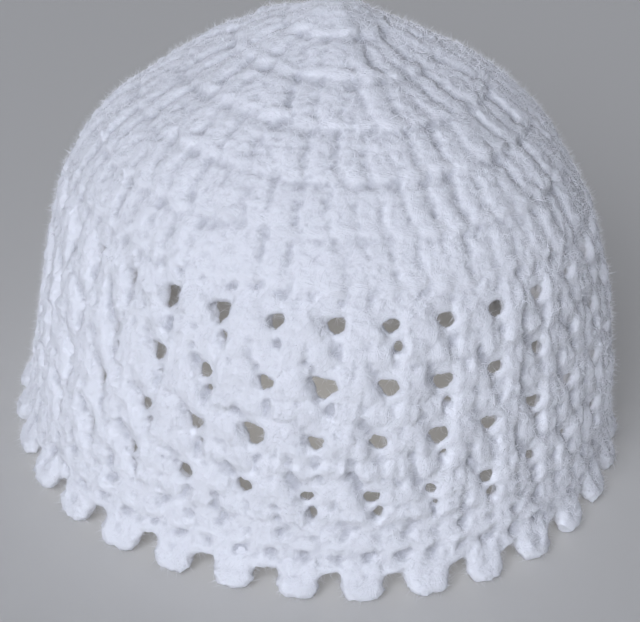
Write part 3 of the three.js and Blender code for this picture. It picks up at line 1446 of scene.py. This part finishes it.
@dataclass
class BrimBand:
    """Plain ring of single crochet rounds below the openwork."""

    kit: Kit
    first_azimuth: float = math.radians(-2.7)
    drift_per_round: float = math.radians(-1.0)
    depths: Depths = Depths()
    seed: int = 37
    node: str = "brim_band"

    def work(self) -> list[np.ndarray]:
        """Lays the strands of the brim's rounds.

        Returns:
            The strands, one to a round.
        """
        hand = Hand(self.seed)
        gauge = self.kit.gauge
        edges = (gauge.openwork_edges[-1], *gauge.brim_edges)
        count = 2 * gauge.repeats
        routes = []
        for row, (top, edge) in enumerate(zip(edges, edges[1:])):
            start = self.first_azimuth + row * self.drift_per_round
            heads = start + np.arange(count) * TAU / count
            depths = (self.depths, self.depths)
            routes.append(single_round(self.kit.fabric, top, edge, heads, depths, hand))
        return [self.kit.yarn.spin(route) for route in routes]

    def build(
        self, strands: list[np.ndarray], above: list[np.ndarray], below: list[np.ndarray]
    ) -> None:
        """Makes the brim and its halo.

        Args:
            strands: Its strands.
            above: The openwork's strands.
            below: The picots' strands.
        """
        gauge = self.kit.gauge
        held = self.kit.above(above[-1:], gauge.openwork_edges[-1])
        held += self.kit.below(below, gauge.brim_edges[-1])
        piece = self.kit.cloth("brim_stitches", strands + held)
        self.kit.finish("brim_halo", [piece], [self.node], self.seed)


@dataclass
class PicotEdging:
    """Small knobs of chain stitches along the rim, one to each repeat."""

    kit: Kit
    drop: float = 1.6  # from the brim's last edge to the knob's middle
    ring: float = 2.0  # radius of the ring that the chain stitches curl round
    square: float = 0.75  # exponent that draws the ring towards a square
    coil: float = 1.1  # how far the yarn winds from that ring, across
    depth: float = 0.85  # how far it winds from that ring, out
    turns: float = 8.5
    points_per_turn: int = 6
    girth: float = 1.0
    opening: float = math.radians(70)
    flare: float = math.radians(23)
    shift: float = math.radians(-0.4)  # how the knobs lean to one side
    fabric_depth: float = -1.6
    tail: tuple[Row, Row] = ((-1.2, -0.6, -2.2, 0.9), (-0.9, 0.3, -1.8, 0.9))  # into the brim
    turned: float = 0.08  # radians that a ring is turned by hand
    begun: float = 0.5  # radians that its coil starts sooner or later by hand
    widened: float = 0.04  # share that it is wider or narrower by hand
    stray: float = 0.35  # how far its points stray, as a share of the usual
    room: float = 6.0  # from the brim's last edge to the end of a knob's place
    fur_depth: float = -0.9  # depth that the halo reads on all of a knob
    floor: float = 1.1  # lowest height of the yarn's middle
    squash: float = 0.15  # how much is left of what would lie lower
    sink: float = 0.05  # how far that may go
    hold: float = 5.5  # how far from its middle a picot holds on to the brim
    seed: int = 41

    def knob(self, index: int, hand: Hand) -> np.ndarray:
        """Route of the yarn through one picot.

        Args:
            index: The picot, counted from 0.
            hand: The maker's hand.

        Returns:
            The route's points with their depth.
        """
        gauge = self.kit.gauge
        t = np.linspace(0, 1, int(self.turns * self.points_per_turn) + 1)
        sweep = TAU - self.opening
        around = (t - 0.5) * sweep + self.turned * hand.random.normal()
        wind = TAU * self.turns * t + self.begun * hand.random.normal()
        reach = self.ring + self.coil * np.cos(wind)
        sine, cosine = np.sin(around), np.cos(around)
        across = reach * np.sign(sine) * np.abs(sine) ** self.square
        across *= 1 + self.widened * hand.random.normal()
        down = self.drop + reach * np.sign(cosine) * np.abs(cosine) ** self.square
        out = self.fabric_depth + self.depth * np.sin(wind)
        knob = np.column_stack([across, down, out, np.full(len(t), self.girth)])
        rows = np.vstack([self.tail, knob, mirrored(self.tail)])
        rows[:, :3] += self.stray * hand.stray(len(rows))
        rows[:, 2] += np.maximum(rows[:, 1], 0) * math.tan(self.flare)
        edge = gauge.brim_edges[-1]
        azimuth = gauge.picot_azimuth + self.shift + index * gauge.repeat
        cell = Cell(edge, edge + self.room, azimuth, azimuth)
        laid = cell.lay(self.kit.fabric, rows, np.zeros((len(rows), 3)))
        low = laid[:, UP] < self.floor
        laid[low, UP] = self.floor + self.squash * (laid[low, UP] - self.floor)
        laid[:, UP] = np.maximum(laid[:, UP], self.floor - self.sink)
        laid[:, STRAND_DEPTH] = self.fur_depth
        return laid

    def work(self) -> list[np.ndarray]:
        """Lays the strands of the picots.

        Returns:
            The strands, one to a picot.
        """
        hand = Hand(self.seed)
        return [
            self.kit.yarn.spin(self.knob(index, hand)) for index in range(self.kit.gauge.repeats)
        ]

    def build(self, strands: list[np.ndarray], above: list[np.ndarray]) -> None:
        """Makes the picots and their halo.

        Args:
            strands: Their strands.
            above: The brim's strands.
        """
        pieces, nodes = [], []
        rim = above[-1]
        low = rim[:, STRAND_DOWN] > self.kit.gauge.brim_edges[-1] - self.kit.collar
        for index, strand in enumerate(strands):
            label = f"{index + 1:02d}"
            middle = strand[:, :3].mean(axis=0)
            near = np.linalg.norm(rim[:, :3] - middle, axis=1) < self.hold
            held = stretches(rim, low & near, self.kit.collar_girth)
            pieces.append(self.kit.cloth(f"picot_stitches_{label}", [strand, *held]))
            nodes.append(f"picot_{label}")
        self.kit.finish("picot_halo", pieces, nodes, self.seed)


# --- Studio -------------------------------------------------------------------------------------


@dataclass(frozen=True)
class Lamp:
    """Broad, distant light, as soft and even as a large studio panel."""

    name: str
    azimuth: float  # degrees that it stands to the right of the front
    elevation: float  # degrees that it stands above the floor
    breadth: float  # degrees that it spans, seen from the hat
    power: float  # watts to a square metre
    tint: Point

    def hang(self, receivers: list[bpy.types.Object] | None = None) -> None:
        """Makes the light.

        Args:
            receivers: The objects that it reaches, where it doesn't reach all.
        """
        data = bpy.data.lights.new(self.name, "SUN")
        data.angle = math.radians(self.breadth)
        data.energy = self.power
        data.color = self.tint
        made = bpy.data.objects.new(self.name, data)
        aside, above = math.radians(self.azimuth), math.radians(self.elevation)
        away = Vector((math.sin(aside), -math.cos(aside), math.tan(above)))
        made.location = away.normalized()
        made.rotation_euler = (-away).to_track_quat("-Z", "Y").to_euler()
        bpy.context.scene.collection.objects.link(made)
        if receivers is not None:
            reached = bpy.data.collections.new(f"lit_by_{self.name}")
            for receiver in receivers:
                reached.objects.link(receiver)
            made.light_linking.receiver_collection = reached


@dataclass
class Studio:
    """Camera, plain floor and soft light."""

    elevation: float = math.radians(31.05)
    distance: float = 256.5  # mm
    target: Point = (-0.9, 0.0, 20.1)  # mm
    roll: float = math.radians(3.8)
    lens: float = 75.9
    sensor: float = 36.0
    nearest: float = 0.01  # m, where the camera starts to see
    floor_size: float = 12.0  # m
    window: Lamp = Lamp("window", -18.0, 36.0, 52.0, 2.8, (0.835, 0.88, 1.0))
    overhead: Lamp = Lamp("overhead", 0.0, 85.0, 40.0, 0.08, (1.0, 0.98, 0.95))
    behind: Lamp = Lamp("behind", 180.0, 7.0, 32.0, 2.0, (0.94, 0.95, 1.0))
    inside_power: float = 0.014  # W
    inside_size: float = 0.02  # m
    inside_height: float = 0.03  # m
    inside_tint: Point = (1.0, 0.98, 0.95)
    sky: Color = (1.0, 0.95, 0.9, 1)
    sky_power: float = 0.02

    def camera(self) -> None:
        """Makes the scene's camera."""
        data = bpy.data.cameras.new("camera")
        data.lens = self.lens
        data.sensor_width = self.sensor
        data.clip_start = self.nearest
        made = bpy.data.objects.new("camera", data)
        bpy.context.scene.collection.objects.link(made)
        away = Vector((0, -math.cos(self.elevation), math.sin(self.elevation)))
        made.location = (Vector(self.target) + away * self.distance) * MM
        turn = (-away).to_track_quat("-Z", "Y").to_matrix()
        made.rotation_euler = (turn @ Matrix.Rotation(self.roll, 3, "Z")).to_euler()
        bpy.context.scene.camera = made

    def floor(self) -> bpy.types.Object:
        """Makes the plain floor.

        Returns:
            The floor.
        """
        half = self.floor_size / 2
        mesh = bpy.data.meshes.new("floor")
        corners = [(-half, -half, 0), (half, -half, 0), (half, half, 0), (-half, half, 0)]
        mesh.from_pydata(corners, [], [(0, 1, 2, 3)])
        mesh.materials.append(FloorFinish().material())
        made = bpy.data.objects.new("floor", mesh)
        bpy.context.scene.collection.objects.link(made)
        return made

    def light_inside(self) -> None:
        """Makes the faint light that soft yarn lets through into the hat."""
        data = bpy.data.lights.new("inside", "POINT")
        data.shadow_soft_size = self.inside_size
        data.energy = self.inside_power
        data.color = self.inside_tint
        made = bpy.data.objects.new("inside", data)
        made.location = (0, 0, self.inside_height)
        bpy.context.scene.collection.objects.link(made)

    def light_sky(self) -> None:
        """Makes the faint light from all round."""
        world = bpy.data.worlds.new("sky")
        world.use_nodes = True
        background = world.node_tree.nodes["Background"]
        background.inputs["Color"].default_value = self.sky
        background.inputs["Strength"].default_value = self.sky_power
        bpy.context.scene.world = world

    def build(self, hat: list[bpy.types.Object]) -> None:
        """Makes the floor, the lights and the sky.

        Args:
            hat: The pieces of the hat, which the light behind it keeps to.
        """
        floor = self.floor()
        self.window.hang()
        self.overhead.hang([floor])
        self.behind.hang(hat)
        self.light_inside()
        self.light_sky()
        bpy.context.scene.view_settings.view_transform = "Standard"


def corners(box: tuple[Vector, Vector]) -> list[list[float]]:
    """A box's corners as plain lists."""
    return [[float(value) for value in corner] for corner in box]


def main() -> None:
    """Builds the hat part by part."""
    logging.basicConfig(level=logging.INFO, format="%(name)s %(message)s")
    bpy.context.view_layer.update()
    studio = Studio()
    studio.camera()
    fabric = Fabric()
    fabric.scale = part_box("crown")[1].z / (fabric.height * MM)
    materials = YarnFinish().material(), FibreFinish().material()
    kit = Kit(fabric, Gauge(), Yarn(), Felt(), Halo(), *materials)
    crown, openwork, brim, edging = Crown(kit), OpenworkBand(kit), BrimBand(kit), PicotEdging(kit)
    top, band, rim, knobs = crown.work(), openwork.work(), brim.work(), edging.work()
    crown.build(top, band)
    openwork.build(band, top, rim)
    brim.build(rim, band, knobs)
    edging.build(knobs, rim)
    studio.build(kit.made)


if __name__ == "__main__":
    main()
